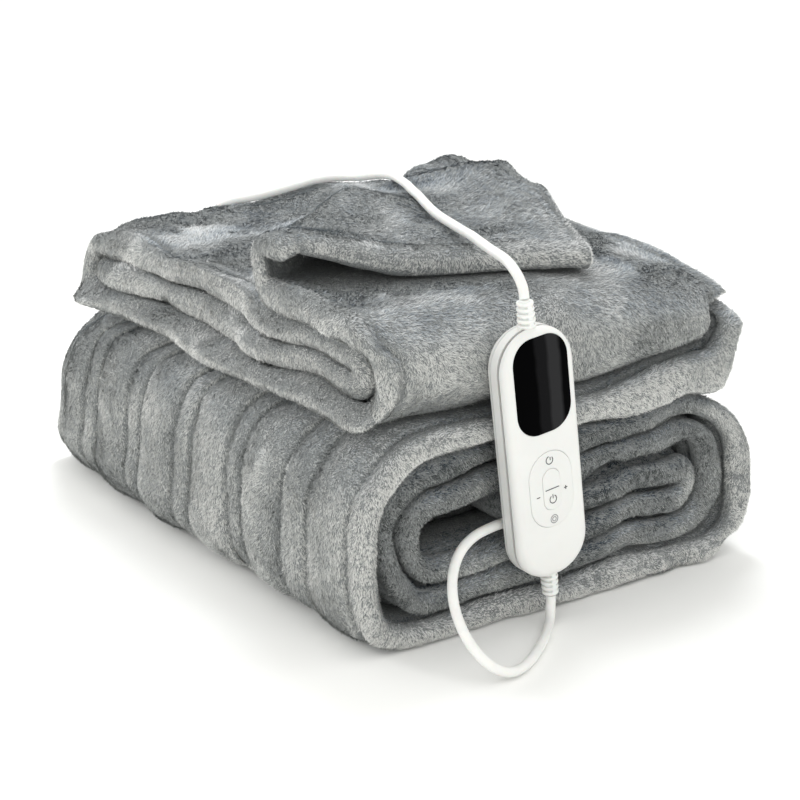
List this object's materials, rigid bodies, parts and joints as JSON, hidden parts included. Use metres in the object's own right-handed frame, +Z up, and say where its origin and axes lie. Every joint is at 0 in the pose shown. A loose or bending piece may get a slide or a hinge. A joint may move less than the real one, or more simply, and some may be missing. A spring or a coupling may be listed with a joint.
{
  "type": "electric heated blanket",
  "caption": "Plush heated throw, folded and rolled into a bundle with one corner turned back, its slim hand controller hanging in front on its cord.",
  "frame": {"origin": "on the flat underside of the rolled blanket, under the middle of the bundle", "axes": "+Y along the roll, away from the end with the controller; +Z up; +X to the right as seen from the controller"},
  "size_m": [0.304, 0.6082, 0.233],
  "materials": {
    "plush": "brushed silver-grey flannel pile",
    "controller_shell": "satin white",
    "window": "glossy black",
    "keypad": "soft white",
    "cord": "soft white sheath",
    "plug": "moulded white",
    "blade": "plated"
  },
  "bodies": {
    "root": {"blanket": "plush", "controller_back_shell": "controller_shell", "controller_front_shell": "controller_shell", "controller_window": "window", "controller_keypad": "keypad", "controller_centre_key": "keypad", "strain_relief_top": "cord", "strain_relief_bottom": "cord", "mains_cord": "cord", "mains_cord_coil": "cord", "mains_cord_tail": "cord", "blanket_cord": "cord", "mains_plug": "plug", "plug_blade_left": "blade", "plug_blade_right": "blade"}
  },
  "joints": []
}
